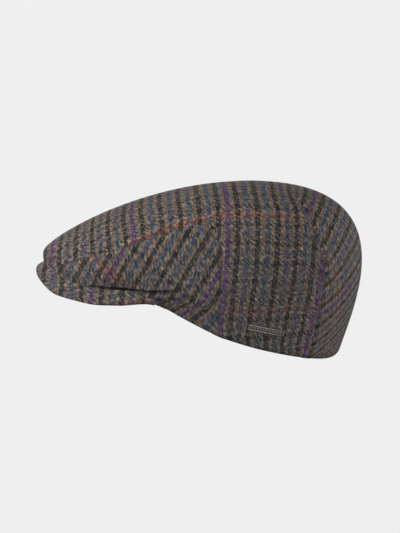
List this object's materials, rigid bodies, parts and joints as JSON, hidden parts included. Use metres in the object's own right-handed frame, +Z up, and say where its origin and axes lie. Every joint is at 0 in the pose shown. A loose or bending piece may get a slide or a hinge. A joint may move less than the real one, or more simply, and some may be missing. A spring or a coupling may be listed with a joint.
{
  "type": "flat cap",
  "caption": "Low duckbill flat cap in checked wool tweed, with a sloping crown sewn down over a short peak, wedge-shaped side panels and a plain metal badge at the left.",
  "frame": {"origin": "on the table, under the middle of the cap's bounding box, as it rests by itself", "axes": "+Z up, +Y from the peak towards the back of the head, +X towards the wearer's left"},
  "size_m": [0.186, 0.2726, 0.1356],
  "materials": {
    "tweed": "matte woven wool twill in a check of tan, black and slate blue with purple and rust lines",
    "pewter": "dull cast pewter"
  },
  "bodies": {
    "root": {"crown": "tweed", "side_panel_left": "tweed", "side_panel_right": "tweed", "peak": "tweed", "badge": "pewter"}
  },
  "joints": []
}
